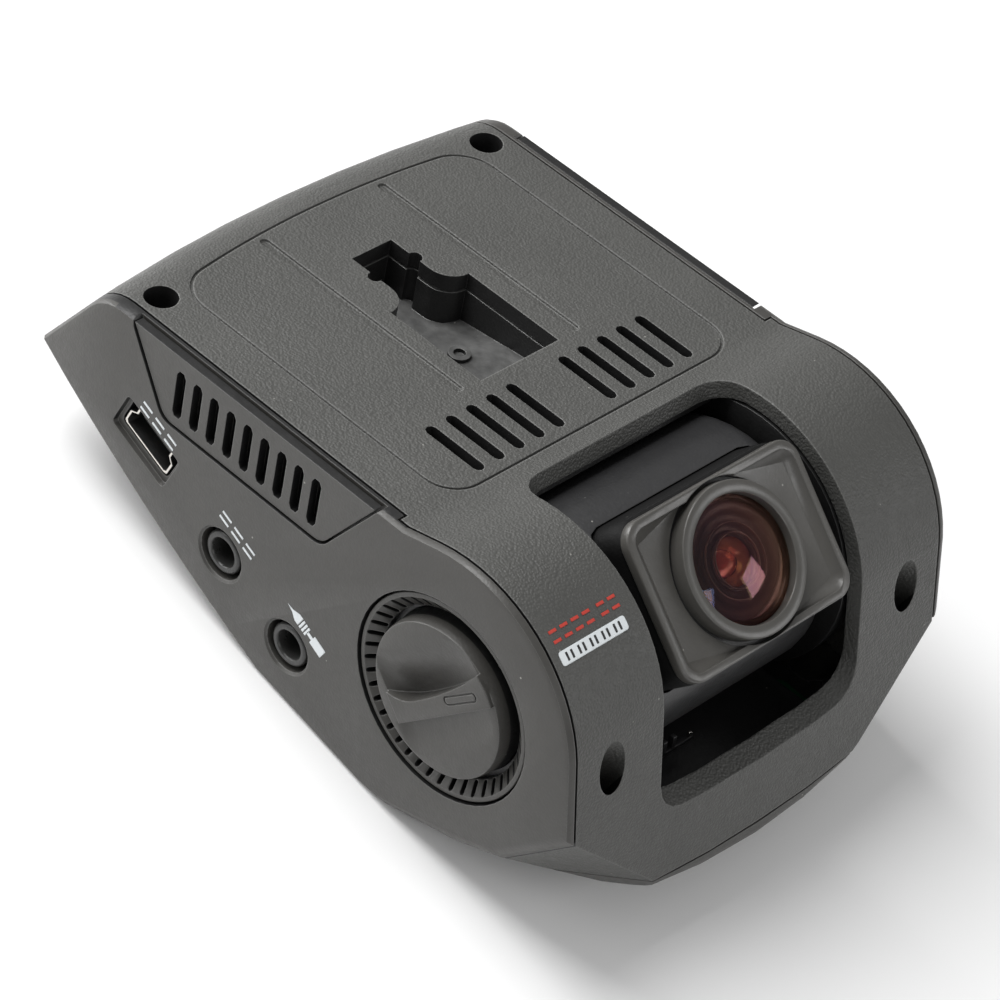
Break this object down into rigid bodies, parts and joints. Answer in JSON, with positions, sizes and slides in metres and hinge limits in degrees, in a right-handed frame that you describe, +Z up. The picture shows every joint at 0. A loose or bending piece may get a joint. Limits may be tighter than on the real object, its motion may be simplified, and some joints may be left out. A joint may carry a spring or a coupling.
{
  "type": "dash camera",
  "caption": "Wedge-shaped dark grey dash camera with a tilting lens drum in its nose, side knob, vents, mount slot and ports.",
  "frame": {"origin": "middle of the bounding box in plan, on the plane that the flat of the underside rests on", "axes": "+Z up as it rests on the flat of its underside; the nose with the lens towards -Y, the tail towards +Y; +X to starboard, the knob on the -X side"},
  "size_m": [0.0616, 0.0916, 0.0404],
  "materials": {
    "textured_case": "fine leather grain",
    "satin_cover": "satin",
    "drum_black": "satin black",
    "bezel_grey": "semi-gloss",
    "coated_glass": "purple-brown coating",
    "screen_glass": "clear over black",
    "socket_metal": "stamped",
    "steel": "dark plated",
    "board_green": "solder resist",
    "chip_black": "moulded",
    "inner_black": "moulded",
    "cell_wrap": "foil wrap"
  },
  "bodies": {
    "case": {"av_jack": "inner_black", "backup_cell": "cell_wrap", "bottom_housing": "satin_cover", "button_board": "board_green", "card_socket": "socket_metal", "detent_spring": "steel", "drum_cradle": "inner_black", "flex_connector": "inner_black", "friction_washer": "steel", "front_left_screw": "steel", "front_right_screw": "steel", "gps_jack": "inner_black", "lcd_panel": "chip_black", "left_bearing_plate": "inner_black", "left_board_screw": "steel", "left_side_cover": "satin_cover", "left_vent_grille": "satin_cover", "main_board": "board_green", "main_processor": "chip_black", "memory_chip": "chip_black", "microphone": "socket_metal", "mount_pocket": "inner_black", "rear_left_screw": "steel", "rear_right_screw": "steel", "right_bearing_plate": "inner_black", "right_board_screw": "steel", "right_side_cover": "satin_cover", "right_vent_grille": "satin_cover", "screen_window": "screen_glass", "speaker": "chip_black", "top_housing": "textured_case", "usb_shell": "socket_metal", "usb_tongue": "inner_black"},
    "lens_unit": {"lens_drum": "drum_black", "lens_bezel": "bezel_grey", "lens_ring": "bezel_grey", "front_lens": "coated_glass", "middle_lens": "coated_glass", "rear_lens": "coated_glass", "lens_barrel": "inner_black", "sensor_board": "board_green", "image_sensor": "chip_black", "knob_shaft": "inner_black", "pivot_pin": "steel", "adjuster_knob": "satin_cover", "knob_ring": "satin_cover"},
    "card": {"memory_card": "chip_black"},
    "menu_button_body": {"menu_button": "bezel_grey"},
    "up_button_body": {"up_button": "bezel_grey"},
    "ok_button_body": {"ok_button": "bezel_grey"},
    "down_button_body": {"down_button": "bezel_grey"},
    "power_button_body": {"power_button": "bezel_grey"}
  },
  "joints": [
    {"name": "lens_tilt", "type": "hinge", "parent": "case", "child": "lens_unit", "pos_m": [0.00075, -0.01965, 0.02066], "axis": [1, 0, 0], "range_deg": [-30, 42]},
    {"name": "card_slide", "type": "slide", "parent": "case", "child": "card", "axis": [1, 0, 0], "range_m": [0, 0.012]},
    {"name": "menu_button_press", "type": "slide", "parent": "case", "child": "menu_button_body", "axis": [0, 0.1388, 0.9903], "range_m": [0, 0.0004], "stiffness_N_per_m": 400, "springref_m": -0.0002},
    {"name": "up_button_press", "type": "slide", "parent": "case", "child": "up_button_body", "axis": [0, 0.1388, 0.9903], "range_m": [0, 0.0004], "stiffness_N_per_m": 400, "springref_m": -0.0002},
    {"name": "ok_button_press", "type": "slide", "parent": "case", "child": "ok_button_body", "axis": [0, 0.1388, 0.9903], "range_m": [0, 0.0004], "stiffness_N_per_m": 400, "springref_m": -0.0002},
    {"name": "down_button_press", "type": "slide", "parent": "case", "child": "down_button_body", "axis": [0, 0.1388, 0.9903], "range_m": [0, 0.0004], "stiffness_N_per_m": 400, "springref_m": -0.0002},
    {"name": "power_button_press", "type": "slide", "parent": "case", "child": "power_button_body", "axis": [0, 0.1388, 0.9903], "range_m": [0, 0.0004], "stiffness_N_per_m": 400, "springref_m": -0.0002}
  ]
}
